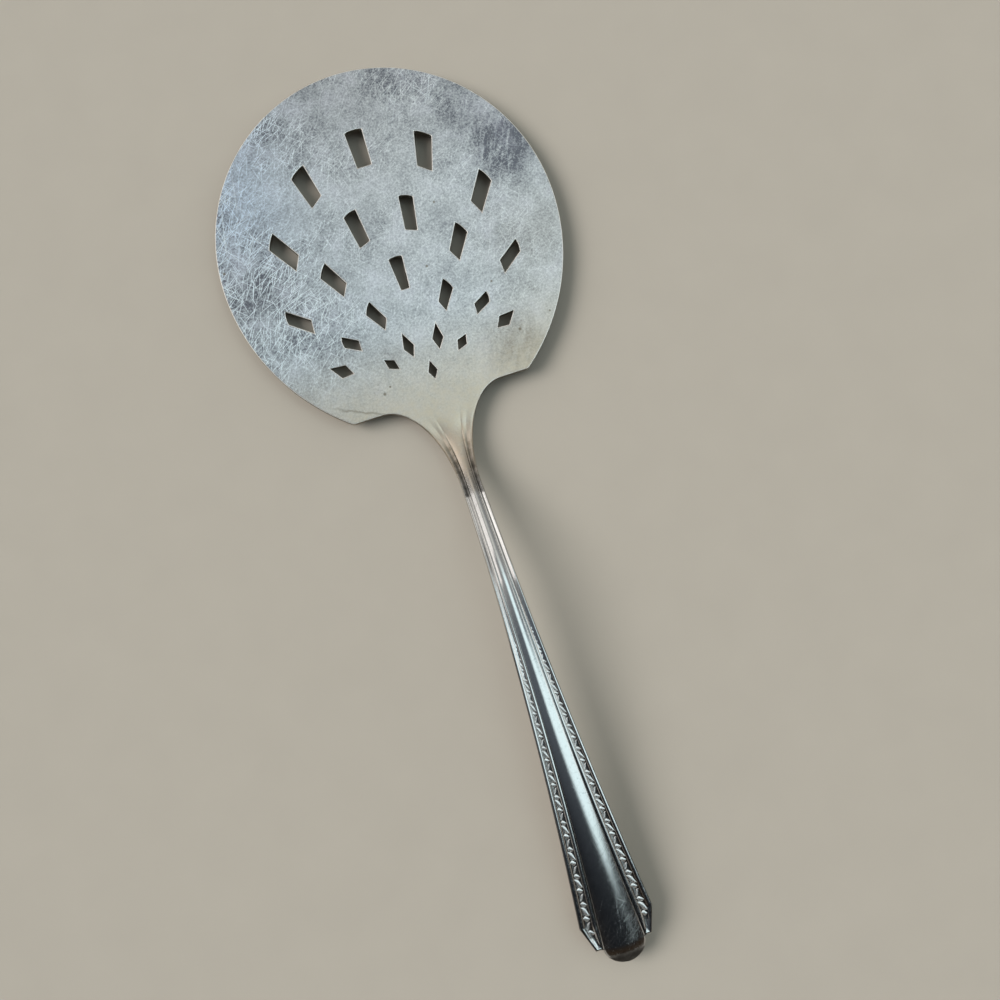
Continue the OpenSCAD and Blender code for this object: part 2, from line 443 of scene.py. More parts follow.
    @staticmethod
    def _wear(sketch: Sketch, place: Sock, x: Sock, y: Sock) -> Sock:
        """Say how worn the metal is: most on the left of the blade, then at its front and on the tip."""
        busy = sketch.noise(place, 0.06, 3.0).step(0.42, 0.62).most((1 - x.step(-37, -22)) * 0.9)
        rub_wear_and_rim_highlight = (0.17 + 0.9 * (1 - x.step(-34, -1)) + 0.2 * y.step(66, 92)).least(1.0)
        return y.step(22, 52) * (0.18 + 0.82 * busy) * rub_wear_and_rim_highlight + (1 - y.step(-96, -66)) * 0.30

    @staticmethod
    def _laid(sketch: Sketch, place: Sock, rows: Iterable[Sequence[float]]) -> Sock:
        """Lay several sets of straight scratches over one another.

        Args:
            sketch: The finish's node tree.
            place: Where on the surface, in millimetres.
            rows: Direction, length, width and cover of each set.

        Returns:
            How much of a scratch shows, from 0 to 1.
        """
        total: Any = 0.0
        for row in rows:
            total = total + sketch.cuts(place, *row)
        return total.least(1.0)

    def _patches(self, sketch: Sketch, place: Sock, y: Sock) -> Sock:
        """Lay out darker, slightly rougher patches on the blade, the painted shade over the right shoulder,
        and the darker front, which is painted shade.
        """
        total: Any = 0.0
        for across, along, inner, outer, weight in self.patches:
            total = total + sketch.spot(place, across, along, inner, outer) * weight
        broken = sketch.along(place, 62, 7.0, 1.2).step(0.30, 0.62)
        cloudy = sketch.noise(place, 0.06, 4.0, 0.6).step(0.50, 0.75) * 0.3
        # The darker front is painted shade.
        return (total * (0.35 + 0.65 * broken) + cloudy + y.step(70, 99) * 0.4).least(1.0) * 0.8

    def _stains(self, sketch: Sketch, place: Sock) -> Sock:
        """Lay out the pits, and the faint tide line over the left shoulder."""
        total: Any = 0.0
        for x, y, reach in self.pits:
            total = total + sketch.spot(place, x, y, 0.1, reach) * 0.8
        specks = sketch.spot(place, -12.0, 28.5, 0.5, 4.5)
        specks = specks * sketch.noise(place, 1.6, 3.0, 0.7).step(0.54, 0.70)
        ripple = sketch.noise(place, 0.25, 3.0) * 3.0
        axes = sketch.node("ShaderNodeSeparateXYZ", {}, {0: place})
        x, y = (Sock(sketch, axes.outputs[k]) for k in range(2))
        drift = y - 26.5 + (x + 20) * 0.5 + ripple - 1.5
        tide = (1 - abs(drift).step(0.05, 0.45)) * x.band(-22, -13, 2.0)
        return (total + specks * 0.45 + tide * 0.45).least(1.0)


@dataclass(frozen=True)
class PaleFloor:
    """Plain matt floor that takes the shadow, and is clear from below."""

    name: str = "pale_floor"
    tone: Colour = (0.395, 0.355, 0.30)
    grain_scale: float = 90.0
    grain_shade: float = 0.94
    rough: float = 0.85

    def material(self) -> bpy.types.Material:
        """Build the floor's finish and return it."""
        material = bpy.data.materials.new(self.name)
        material.use_nodes = True
        sketch = Sketch(material.node_tree)
        metres = sketch.out("ShaderNodeTexCoord", {}, {}, "Object")
        grain = sketch.noise(metres, self.grain_scale, 3.0)
        darker = tuple(self.grain_shade * c for c in self.tone)
        matt = sketch.out(
            "ShaderNodeBsdfPrincipled",
            {},
            {"Base Color": sketch.mix(grain, self.tone, darker), "Roughness": self.rough},
        )
        clear = sketch.out("ShaderNodeBsdfTransparent")
        under = sketch.out("ShaderNodeNewGeometry", {}, {}, "Backfacing")
        surface = sketch.out("ShaderNodeMixShader", {}, {0: under, 1: matt, 2: clear})
        sketch.node("ShaderNodeOutputMaterial", {}, {"Surface": surface})
        return material


class Bench:
    """Small set of modelling moves on the active object, as made by hand in edit mode."""

    @staticmethod
    def clear() -> None:
        """Leave edit mode and deselect everything."""
        if bpy.context.object is not None and bpy.context.object.mode != "OBJECT":
            bpy.ops.object.mode_set(mode="OBJECT")
        bpy.ops.object.select_all(action="DESELECT")

    @staticmethod
    def take(name: str) -> bpy.types.Object:
        """Name the object that was just added and return it."""
        piece = bpy.context.object
        piece.name = name
        piece.data.name = name
        return piece

    @staticmethod
    def pick(piece: bpy.types.Object, test: Callable[[Vector], bool], mode: str = "VERT") -> int:
        """Select the parts of a mesh whose middle passes a test, and enter edit mode.

        Args:
            piece: The mesh object, which becomes the active one.
            test: Takes the middle of a vertex, edge or face, in millimetres.
            mode: What is tested: VERT, EDGE or FACE.

        Returns:
            How many were selected.
        """
        Bench.clear()
        bpy.context.view_layer.objects.active = piece
        piece.select_set(True)
        mesh = piece.data
        bpy.ops.object.mode_set(mode="EDIT")
        bpy.ops.mesh.select_mode(type=mode)
        bpy.ops.mesh.select_all(action="DESELECT")
        bpy.ops.object.mode_set(mode="OBJECT")
        count = 0
        if mode == "VERT":
            for vertex in mesh.vertices:
                vertex.select = test(vertex.co / MM)
                count += vertex.select
        elif mode == "EDGE":
            for edge in mesh.edges:
                ends = [mesh.vertices[i].co for i in edge.vertices]
                edge.select = test((ends[0] + ends[1]) / (2 * MM))
                count += edge.select
        else:
            for face in mesh.polygons:
                face.select = test(face.center / MM)
                count += face.select
        bpy.ops.object.mode_set(mode="EDIT")
        return count

    @staticmethod
    def extrude(offset: Point) -> None:
        """Extrude what is selected in edit mode by an offset in millimetres."""
        bpy.ops.mesh.extrude_region_move(TRANSFORM_OT_translate={"value": tuple(c * MM for c in offset)})

    @staticmethod
    def apply(piece: bpy.types.Object, kind: str, **settings: Any) -> None:
        """Add a modifier to a piece, set it and apply it."""
        Bench.clear()
        bpy.context.view_layer.objects.active = piece
        piece.select_set(True)
        bpy.ops.object.modifier_add(type=kind)
        modifier = piece.modifiers[-1]
        for key, value in settings.items():
            setattr(modifier, key, value)
        bpy.ops.object.modifier_apply(modifier=modifier.name)

    @staticmethod
    def join(pieces: Sequence[bpy.types.Object], name: str) -> bpy.types.Object:
        """Join several objects into one and return it."""
        Bench.clear()
        for piece in pieces:
            piece.select_set(True)
        bpy.context.view_layer.objects.active = pieces[0]
        if len(pieces) > 1:
            bpy.ops.object.join()
        return Bench.take(name)

    @staticmethod
    def settle(piece: bpy.types.Object, angle: float) -> None:
        """Put a piece's place into its mesh, turn its faces outwards and smooth it below an angle."""
        Bench.clear()
        bpy.context.view_layer.objects.active = piece
        piece.select_set(True)
        bpy.ops.object.transform_apply(location=True, rotation=True, scale=True)
        bpy.ops.object.mode_set(mode="EDIT")
        bpy.ops.mesh.select_all(action="SELECT")
        bpy.ops.mesh.remove_doubles(threshold=1e-6)
        bpy.ops.mesh.normals_make_consistent(inside=False)
        bpy.ops.object.mode_set(mode="OBJECT")
        bpy.ops.object.shade_smooth_by_angle(angle=math.radians(angle))
        piece.select_set(False)

    @staticmethod
    def finish(piece: bpy.types.Object, slot: Slot, material: bpy.types.Material, *nodes: str) -> None:
        """Dress a piece, and say what it rides on and stands for."""
        piece.data.materials.clear()
        piece.data.materials.append(material)
        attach(piece, BODY)
        if nodes:
            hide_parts(*nodes)
        LOG.info("%s: %d faces, stands for %s", piece.name, len(piece.data.polygons), nodes or "no node")


@dataclass(frozen=True)
class Flare:
    """Outline of the neck's flare, which the blade and the handle share."""

    neck_y: float = 3.0
    neck_half: float = 2.25
    spread: float = 11.2
    length: float = 20.0

    def half(self, y: float) -> float:
        """Return the flare's half width at a place along the length."""
        run = (y - self.neck_y) / self.length
        return self.neck_half + self.spread * (1 - math.sqrt(1 - run ** 2))


@dataclass
class Blade:
    """Flat round blade with two shoulders, a scarfed root and 23 piercings."""

    half_width: float = 37.7
    widest_y: float = 60.0
    front_length: float = 40.0
    shoulder_y: float = 23.0
    shoulder_half: float = 19.8
    shoulder_radius: float = 1.6
    thickness: float = 1.3
    flare: Flare = Flare()
    nose_y: float = 20.5
    lap_end_y: float = 16.86
    lap_top: float = 0.996
    scarf_half: float = 20.0
    edge_round: float = 0.26
    edge_flat: float = 0.42
    least_edge: float = 0.03
    sharp_angle: float = 60.0
    smooth_angle: float = 40.0
    round_points: int = 160
    side_steps: int = 28
    corner_steps: int = 7
    flare_steps: int = 18
    slot_bulge: float = 0.22
    slot_points: int = 7
    slots: tuple[tuple[float, ...], ...] = (
        (0, 58.8, 0, 8.6, 3.9, 3.2, 0),
        (13.5, 53.9, 14.6, 8.1, 3.85, 3.15, 1.4),
        (5.9, 41.3, 8.2, 7.8, 3.05, 2.55, 0.6),
        (22.6, 41.2, 32.8, 7.5, 3.3, 3, 1.9),
        (14.2, 31.8, 31, 6.5, 3.1, 2.6, 1.6),
        (0, 28.8, 0, 7.4, 3, 1.8, 0),
        (24, 25.1, 53, 5.9, 2.4, 2.5, 1.7),
        (7.8, 21.2, 30.6, 5.2, 2.6, 2, 1.5),
        (14.8, 17, 61, 3.75, 2.15, 2.05, 1.2),
    )
    kites: tuple[tuple[float, ...], ...] = (
        (3.3, 12.5, 9, 3.4, 2.4, 1.18),
        (18.2, 11.7, 60, 3.1, 2.15, 1.43),
        (8, 10, 42, 1.9, 2, 1.08),
        (0, 5.9, 0, 2.4, 1.8, 1),
    )

    def build(self, finish: Silver) -> bpy.types.Object:
        """Model the blade and dress it.

        Args:
            finish: The worn silver that it takes.

        Returns:
            The finished piece.
        """
        sheet = self._sheet()
        self._pierce(sheet)
        self._scarf(sheet)
        self._soften(sheet)
        Bench.settle(sheet, self.smooth_angle)
        Bench.apply(sheet, "WEIGHTED_NORMAL", keep_sharp=True, weight=100)
        Bench.finish(sheet, Slot.BLADE, finish.material(), "blade")
        return sheet

    def _sheet(self) -> bpy.types.Object:
        """Draw the outline from a circle, mirror it, fill it and raise it to the sheet's thickness."""
        side_run = self.half_width - self.shoulder_half
        side_drop = self.widest_y - self.shoulder_y
        side_radius = (side_run ** 2 + side_drop ** 2) / (2 * side_run)
        side_x = self.half_width - side_radius
        round_reach = side_radius - self.shoulder_radius
        side_turn = math.asin((side_drop - self.shoulder_radius) / round_reach)
        corner_x = side_x + round_reach * math.cos(side_turn)
        corner_y = self.shoulder_y + self.shoulder_radius

        Bench.clear()
        bpy.ops.mesh.primitive_circle_add(
            vertices=self.round_points, radius=self.half_width * MM, location=(0, self.widest_y * MM, 0)
        )
        sheet = Bench.take("blade_sheet")
        bpy.ops.object.transform_apply(location=True, rotation=False, scale=False)
        Bench.pick(sheet, lambda p: p.x < -CLOSE or p.y < self.widest_y - CLOSE)
        bpy.ops.mesh.delete(type="VERT")
        bpy.ops.mesh.select_all(action="SELECT")
        bpy.ops.transform.resize(
            value=(1, self.front_length / self.half_width, 1), center_override=(0, self.widest_y * MM, 0)
        )
        Bench.pick(sheet, lambda p: p.y < self.widest_y + CLOSE)
        self._spin(self.side_steps, side_turn, side_x, self.widest_y)
        self._spin(self.corner_steps, math.pi / 2 - side_turn, corner_x, corner_y)
        start = self.flare.neck_half + self.flare.spread
        Bench.extrude((start - corner_x, 0, 0))
        lap_turn = math.acos((self.lap_end_y - self.flare.neck_y) / self.flare.length)
        last = (start, self.shoulder_y)
        for i in range(1, self.flare_steps + 1):
            y = self.flare.neck_y + self.flare.length * math.cos(lap_turn * i / self.flare_steps)
            x = self.flare.half(y)
            Bench.extrude((x - last[0], y - last[1], 0))
            last = (x, y)
        Bench.extrude((-last[0], 0, 0))
        Bench.clear()
        Bench.apply(sheet, "MIRROR", use_axis=(True, False, False), use_clip=True, merge_threshold=1e-5)
        Bench.pick(sheet, lambda p: True)
        bpy.ops.mesh.edge_face_add()
        Bench.extrude((0, 0, self.thickness))
        bpy.ops.mesh.select_all(action="SELECT")
        bpy.ops.mesh.normals_make_consistent(inside=False)
        Bench.clear()
        return sheet

    @staticmethod
    def _spin(steps: int, turn: float, x: float, y: float) -> None:
        """Draw the selected end vertex clockwise round a centre on the plan."""
        bpy.ops.mesh.spin(
            steps=steps, angle=turn, center=(x * MM, y * MM, 0), axis=(0, 0, 1), use_auto_merge=False
        )

    def _pierce(self, sheet: bpy.types.Object) -> None:
        """Cut the piercings through the sheet with shaped blocks."""
        cutters = []
        for row in self.slots:
            reach, outer, inner, slant = row[3] / 2, row[4] / 2, row[5] / 2, row[6] / 2
            steps = np.linspace(-1, 1, self.slot_points)
            shape = [(outer * t, reach - slant * t + self.slot_bulge * (1 - t * t)) for t in steps]
            cutters += self._mated(row, shape + [(inner, -reach - slant), (-inner, slant - reach)])
        for row in self.kites:
            cutters += self._mated(row, ((0, row[3]), (row[5], 0), (0, -row[4]), (-row[5], 0)))
        cutter = Bench.join(cutters, "piercing_cutter")
        Bench.apply(sheet, "BOOLEAN", operation="DIFFERENCE", solver="EXACT", object=cutter)
        bpy.data.objects.remove(cutter)

    def _mated(self, row: Sequence[float], shape: Sequence[tuple[float, float]]) -> list[bpy.types.Object]:
        """Make the cutter of one piercing, and of its mate on the left where it isn't on the axis.

        Args:
            row: The piercing's place across, height over the shoulders and lean, then its sizes.
            shape: Its outline before it is leaned and placed.

        Returns:
            One or two cutters.
        """
        lean = math.radians(row[2])
        made = []
        for sign in (1, -1) if row[0] > 0 else (1,):
            Bench.clear()
            bpy.ops.mesh.primitive_circle_add(vertices=len(shape), radius=MM, fill_type="NGON")
            cutter = Bench.take("piercing_cutter")
            for vertex, (u, v) in zip(cutter.data.vertices, shape):
                across = row[0] + u * math.cos(lean) + v * math.sin(lean)
                along = self.shoulder_y + row[1] - u * math.sin(lean) + v * math.cos(lean)
                vertex.co = (sign * across * MM, along * MM, -self.thickness * MM)
            Bench.pick(cutter, lambda p: True, "FACE")
            Bench.extrude((0, 0, 3 * self.thickness))
            bpy.ops.mesh.select_all(action="SELECT")
            bpy.ops.mesh.normals_make_consistent(inside=False)
            Bench.clear()
            made.append(cutter)
        return made

    def _scarf(self, sheet: bpy.types.Object) -> None:
        """Cut the root to the slope of the lap under the handle's flare."""
        Bench.clear()
        length = 3 * (self.nose_y - self.lap_end_y)
        bpy.ops.mesh.primitive_cube_add(size=MM)
        cutter = Bench.take("scarf_cutter")
        slope = self.lap_top / (self.nose_y - self.lap_end_y)
        for vertex in cutter.data.vertices:
            front, upper = vertex.co.y > 0, vertex.co.z > 0
            y = self.nose_y if front else self.nose_y - length
            z = 3 * self.thickness if upper else self.lap_top - (0 if front else slope * length)
            vertex.co = (math.copysign(self.scarf_half, vertex.co.x) * MM, y * MM, z * MM)
        Bench.apply(sheet, "BOOLEAN", operation="DIFFERENCE", solver="EXACT", object=cutter)
        bpy.data.objects.remove(cutter)

    def _soften(self, sheet: bpy.types.Object) -> None:
        """Round the edges of the rim and the piercings, but none that meets the handle."""
        Bench.pick(sheet, lambda p: True)
        bpy.ops.mesh.remove_doubles(threshold=self.least_edge * MM)
        Bench.pick(sheet, lambda p: False, "EDGE")
        bpy.ops.mesh.edges_select_sharp(sharpness=math.radians(self.sharp_angle))
        bpy.ops.object.mode_set(mode="OBJECT")
        mesh = sheet.data
        for edge in mesh.edges:
            ends = [mesh.vertices[i].co / MM for i in edge.vertices]
            middle = (ends[0] + ends[1]) / 2
            level = abs(ends[0].z - ends[1].z) < CLOSE
            face_edge = min(abs(middle.z), abs(middle.z - self.thickness)) < CLOSE
            clear = min(ends[0].y, ends[1].y) > self.nose_y - CLOSE and middle.y > self.nose_y + CLOSE
            edge.select = edge.select and level and face_edge and clear
        bpy.ops.object.mode_set(mode="EDIT")
        bpy.ops.mesh.bevel(
            offset=self.edge_round * MM,
            segments=3,
            affect="EDGES",
            clamp_overlap=False,
            loop_slide=False,
        )
        Bench.clear()
        for vertex in mesh.vertices:
            z = min(max(vertex.co.z / MM, 0.0), self.thickness)
            depth = min(z, self.thickness - z)
            if depth < self.edge_round + CLOSE and vertex.co.y > (self.nose_y + CLOSE) * MM:
                depth *= self.edge_flat
            vertex.co.z = (depth if z < self.thickness / 2 else self.thickness - depth) * MM


@dataclass
class Handle:
    """Struck handle: flare, neck, stem with its spine and bordered panels, and rounded tip."""

    flare: Flare = Flare()
    nose_y: float = 20.5
    lap_end_y: float = 16.5
    relief_y: float = 5.0
    arch_top_y: float = -20.5
    corner_y: float = -90.7
    panel_end_y: float = -96.1
    tip_y: float = -100.0
    blade_thickness: float = 1.3
    lap_slope: float = 0.275
    handle_half: float = 7.8
    panel_end_inset: float = 1.8
    end_bead: float = 0.7
    spine_neck: float = 0.85
    spine_end: float = 4.0
    spine_crown: float = 1.04
    neck_thickness: float = 2.2
    end_thickness: float = 1.5
    arch_height: float = 9.5
    panel_depth: float = 0.38
    groove_depth: float = 0.27
    edge_drop: float = 0.6
    bead_drop: float = 0.05
    rim_drop: float = 0.09
    flute_depth: float = 0.24
    flute_bottom: float = 0.42
    flute_end_y: float = -22.0
    panel_start_y: float = -56.0
    edge_round: float = 0.17
    foot_round: float = 0.25
    tip_round: float = 0.4
    # Painted shade on the tip's end and side wall.
    tip_painted_shade: float = 0.8
    tip_step: float = 0.05
    end_dark_from: float = 0.6
    end_dark_run: float = 2.2
    groove_dark: float = 0.7
    # How dark the beads turn under the painted shade at the neck.
    bead_dark: float = 0.8
    panel_dark: float = 0.6
    rim_dark: float = 0.85
    wall_dark: float = 0.8
    handle_growth: float = 1.8
    spine_growth: float = 2.3
    arch_fall: float = 1.8
    neck_dip: float = 0.25
    neck_dip_y: float = 6.5
    neck_dip_reach: float = 7.0
    groove_at: float = 0.05
    inner_bead: tuple[float, float] = (0.09, 0.25)
    outer_bead: tuple[float, float] = (0.76, 0.955)
    flute_inner: tuple[float, float] = (0.14, 0.28)
    flute_outer: tuple[float, float] = (0.70, 0.94)
    smooth_angle: float = 44.0
    spine_steps: int = 16
    groove_steps: int = 8
    bead_steps: int = 8
    panel_steps: int = 24
    roll_steps: int = 5
    foot_steps: int = 4
    back_steps: int = 5
    flare_rings: int = 60
    stem_rings: int = 190
    end_rings: int = 64
    tip_rings: int = 25

    def half_width(self, y: float) -> float:
        """Return the handle's half width at a place along its length."""
        if y >= self.flare.neck_y:
            return self.flare.half(y)
        if y >= self.corner_y:
            share = (self.flare.neck_y - y) / (self.flare.neck_y - self.corner_y)
            gain = self.handle_half - self.flare.neck_half
            return self.flare.neck_half + gain * share ** self.handle_growth
        share = (self.corner_y - y) / (self.corner_y - self.panel_end_y)
        return self.handle_half - self.panel_end_inset * share

    def spine_half(self, y: float) -> float:
        """Return the spine's half width at a place along the length."""
        if y >= self.flare.neck_y:
            return self.spine_neck * self.half_width(y) / self.flare.neck_half
        share = (self.flare.neck_y - y) / (self.flare.neck_y - self.corner_y)
        return self.spine_neck + (self.spine_end - self.spine_neck) * share ** self.spine_growth

    def underside(self, y: float) -> float:
        """Return the height of the handle's back over the surface that the blade rests on."""
        if y >= self.lap_end_y:
            return (y - self.lap_end_y) * self.lap_slope
        if y >= self.arch_top_y:
            rise = self.arch_height * ease((self.lap_end_y - y) / (self.lap_end_y - self.arch_top_y))
            swing = min(abs(y - self.neck_dip_y) / self.neck_dip_reach, 1)
            return rise - self.neck_dip * math.cos(math.pi / 2 * swing) ** 2
        share = (self.arch_top_y - y) / (self.arch_top_y - self.tip_y)
        return self.arch_height * (1 - share ** self.arch_fall)

    def upper_side(self, y: float) -> float:
        """Return the height of the handle's beads."""
        if y >= self.lap_end_y:
            return self.blade_thickness
        if y >= self.flare.neck_y:
            rise = ease((self.lap_end_y - y) / (self.lap_end_y - self.flare.neck_y))
            gain = (self.neck_thickness - self.blade_thickness) * rise
            return self.underside(y) + self.blade_thickness + gain
        share = (self.flare.neck_y - y) / (self.flare.neck_y - self.tip_y)
        return self.underside(y) + self.neck_thickness + (self.end_thickness - self.neck_thickness) * share

    def relief(self, y: float) -> float:
        """Return how much of the relief is left where the neck flares into the blade."""
        return ease((self.nose_y - y) / (self.nose_y - self.relief_y))

    def crown(self, y: float) -> float:
        """Return the rise of the spine over its edges."""
        return self.spine_crown * self.spine_half(y) / self.spine_end * self.relief(y)

    def outer_share(self, y: float, x: float, share: float) -> float:
        """Find how near a place on a border is to the border's outer line.

        Args:
            y: Place along the length.
            x: Place across, without its sign.
            share: Place across the border, from the spine at 0 to the edge at 1.

        Returns:
            The share, which also grows towards the slanted and the blunt end of the panel.
        """
        width = self.end_bead * (self.handle_half - self.spine_end)
        run = self.corner_y - self.panel_end_y
        slant = math.hypot(run, self.panel_end_inset)
        away = ((self.handle_half - x) * run + (y - self.corner_y) * self.panel_end_inset) / slant
        return max(share, 1 - away / width, 1 - (y - self.panel_end_y) / width)

    def panel(self, y: float) -> float:
        """Return how far the plain flute of the upper stem has turned into a bordered panel."""
        return ease((self.flute_end_y - y) / (self.flute_end_y - self.panel_start_y))

    def spread(self, y: float, share: float) -> float:
        """Shift the beads where the border is a narrow flute.

        Args:
            y: Place along the length.
            share: Place across the border as it is at the handle's end.

        Returns:
            Place across the border at y.
        """
        ends = (0.0, *self.inner_bead, *self.outer_bead, 1.0)
        tops = (0.0, *self.flute_inner, *self.flute_outer, 1.0)
        panel = self.panel(y)
        return float(np.interp(share, ends, [t + (e - t) * panel for t, e in zip(tops, ends)]))

    def border_drop(self, y: float, x: float, share: float) -> tuple[float, float]:
        """Find the depth of a border under its beads.

        Args:
            y: Place along the length.
            x: Place across, without its sign.
            share: Place across the border, from the spine at 0 to the edge at 1.

        Returns:
            The depth, and how much dark patina and painted shade the place holds.
        """
        near, far = self.inner_bead
        low, high = self.outer_bead
        outer = self.outer_share(y, x, share)
        panel = self.panel(y)
        # Towards the neck, the groove, beads and flutes also take painted shade.
        if share < near:
            groove = 0.5 + 0.5 * math.cos(math.pi * min(abs(share - self.groove_at) / self.groove_at, 1))
            depth = self.groove_depth * (0.55 + 0.45 * panel)
            drop = depth * groove + self.bead_drop * share / near
            dark_patina_and_shade = max(self.groove_dark * groove * self.patina_and_painted_shade(y), self.neck_painted_shade(y))
        elif share < far:
            drop = self.bead_drop * (2 * (share - near) / (far - near) - 1) ** 2
            dark_patina_and_shade = self.bead_dark * self.neck_painted_shade(y)
        else:
            inside = (share - far) / (low - far)
            outside = max((low - outer) / (low - far), 0)
            hollow = min(4 * inside * outside, 1.0)
            flute = min(inside / self.flute_bottom, max(1 - inside, 0) / (1 - self.flute_bottom))
            shallow = self.flute_depth * flute
            depth = shallow + (self.panel_depth * hollow - shallow) * panel
            step = self.bead_drop + (self.rim_drop - self.bead_drop) * inside
            drop = step + depth
            dark_patina_and_shade = max(self.panel_dark * ease(2 * hollow - 0.9) * panel, self.neck_painted_shade(y))
        if outer >= high:
            slope = self.rim_drop + (self.edge_drop - self.rim_drop) * (outer - high) / (1 - high)
            past = ease(2 * (outer - high) / (1 - high) - 0.8)
            return max(drop, slope), self.rim_dark * past * self.edge_darkness(y)
        if outer >= low and share >= far:
            drop = self.rim_drop * (2 * (outer - low) / (high - low) - 1) ** 2
            return drop, self.bead_dark * self.neck_painted_shade(y)
        return drop, dark_patina_and_shade

    def patina_and_painted_shade(self, y: float) -> float:
        """Return how dark the groove beside the spine is: painted shade at the neck, and dark patina
        towards the tip.
        """
        return max(ease((self.panel_start_y + 12 - y) / 16), 0.8 * ease((y + 1) / 3) * ease((14 - y) / 5))

    def neck_painted_shade(self, y: float) -> float:
        """Return how much painted shade darkens the neck's flutes and beads, down to where the stem's
        bright bands start.
        """
        return 0.62 * ease((y + 0.6) / 0.8) * ease((19 - y) / 9)

    def edge_darkness(self, y: float) -> float:
        """Return how dark the outer edges are, fading out towards the neck."""
        return ease((self.flute_end_y - y) / 16)

    def surface(self, y: float, share: float) -> Point:
        """Find a place on the right border.

        Args:
            y: Place along the length.
            share: Place across the border, from the spine at 0 to the edge at 1.

        Returns:
            Its place across, its height, and how much dark patina and painted shade it holds.
        """
        spine = self.spine_half(y)
        x = spine + (self.half_width(y) - spine) * self.spread(y, share)
        drop, dark_patina_and_shade = self.border_drop(y, x, share)
        return x, self.upper_side(y) - drop * self.relief(y), dark_patina_and_shade * self.relief(y)

    def stations(self) -> list[Station]:
        """List the points of half a cross-section, from the crown to the middle of the back."""
        near, far = self.inner_bead
        low, high = self.outer_bead
        shares = [k * near / self.groove_steps for k in range(1, self.groove_steps)]
        shares += list(np.linspace(near, far, self.bead_steps + 1))
        shares += list(np.linspace(far, low, self.panel_steps + 1))[1:-1]
        shares += list(np.linspace(low, high, self.bead_steps + 1))
        shares += [high + 0.02]
        found = [(Zone.SPINE, k / self.spine_steps) for k in range(self.spine_steps + 1)]
        found += [(Zone.BORDER, share) for share in shares]
        found += [(Zone.ROLL, k / self.roll_steps) for k in range(self.roll_steps + 1)]
        found += [(Zone.WALL, 1 / 3), (Zone.WALL, 2 / 3)]
        found += [(Zone.FOOT, k / self.foot_steps) for k in range(self.foot_steps + 1)]
        found += [(Zone.BACK, k / self.back_steps) for k in range(1, self.back_steps + 1)]
        return found

    @staticmethod
    def foot_point(width: float, floor: float, foot: float, share: float) -> Point:
        """Find a point on the rounding between a side wall and the back.

        Args:
            width: Half width of the cross-section.
            floor: Height of the back.
            foot: Size of the rounding.
            share: How far round the point is, from 0 to 1.

        Returns:
            Its place across, its height, and no darkening.
        """
        return (*bend((width, floor + foot), (width, floor), (width - foot, floor), share), 0.0)

    def tip_rise(self, x: float, turn: float) -> float:
        """Return how far the tip's crown stands over its edge at a place across and round it."""
        half = self.spine_half(self.panel_end_y)
        return self.crown(self.panel_end_y) * max(1 - (x / half) ** 2 - math.sin(turn) ** 2, 0)

    def section(self, y: float, stations: Iterable[Station]) -> HalfSection:
        """Find half a cross-section of the stem.

        Args:
            y: Place along the length.
            stations: The points that are wanted.

        Returns:
            Each point's place across, height, and dark patina and painted shade.
        """
        spine, width = self.spine_half(y), self.half_width(y)
        top, floor, crown = self.upper_side(y), self.underside(y), self.crown(y)
        deep = top - floor
        roll = min(self.edge_round, 0.1 * (width - spine), 0.4 * deep)
        foot = min(self.foot_round, 0.3 * deep)
        roll_share = 1 - roll / (width - spine)
        start = self.surface(y, roll_share)
        corner = self.surface(y, 1.0)
        wall_top = corner[1] - roll
        dark = self.wall_dark * self.edge_darkness(y)
        found = []
        for zone, share in stations:
            if zone is Zone.SPINE:
                found.append((spine * share, top + crown * (1 - share ** 2), 0.0))
            elif zone is Zone.BORDER:
                found.append(self.surface(y, min(share, roll_share - 0.001)))
            elif zone is Zone.ROLL:
                found.append((*bend(start, (width, corner[1]), (width, wall_top), share), dark))
            elif zone is Zone.WALL:
                found.append((width, wall_top + (floor + foot - wall_top) * share, dark))
            elif zone is Zone.FOOT:
                found.append(self.foot_point(width, floor, foot, share))
            else:
                found.append(((width - foot) * (1 - share), floor, 0.0))
        return found

    def tip_section(self, turn: float, stations: Sequence[Station]) -> tuple[float, HalfSection]:
        """Find half a cross-section of the rounded tip, whose side wall takes the place of the border.

        Args:
            turn: How far round the tip's outline it lies, from 0 to a right angle.
            stations: The points that are wanted.

        Returns:
            Its place along the length, and each point's place across, height and painted shade.
        """
        start_y = self.panel_end_y - self.tip_step
        reach = start_y - self.tip_y
        y = start_y - reach * math.sin(turn)
        width = self.spine_half(self.panel_end_y) * math.cos(turn)
        top, floor = self.upper_side(y), self.underside(y)
        roll = min(self.tip_round, 0.5 * width)
        foot = min(self.foot_round, 0.5 * width)
        border = [k for k, (zone, _) in enumerate(stations) if zone in (Zone.BORDER, Zone.ROLL, Zone.WALL)]
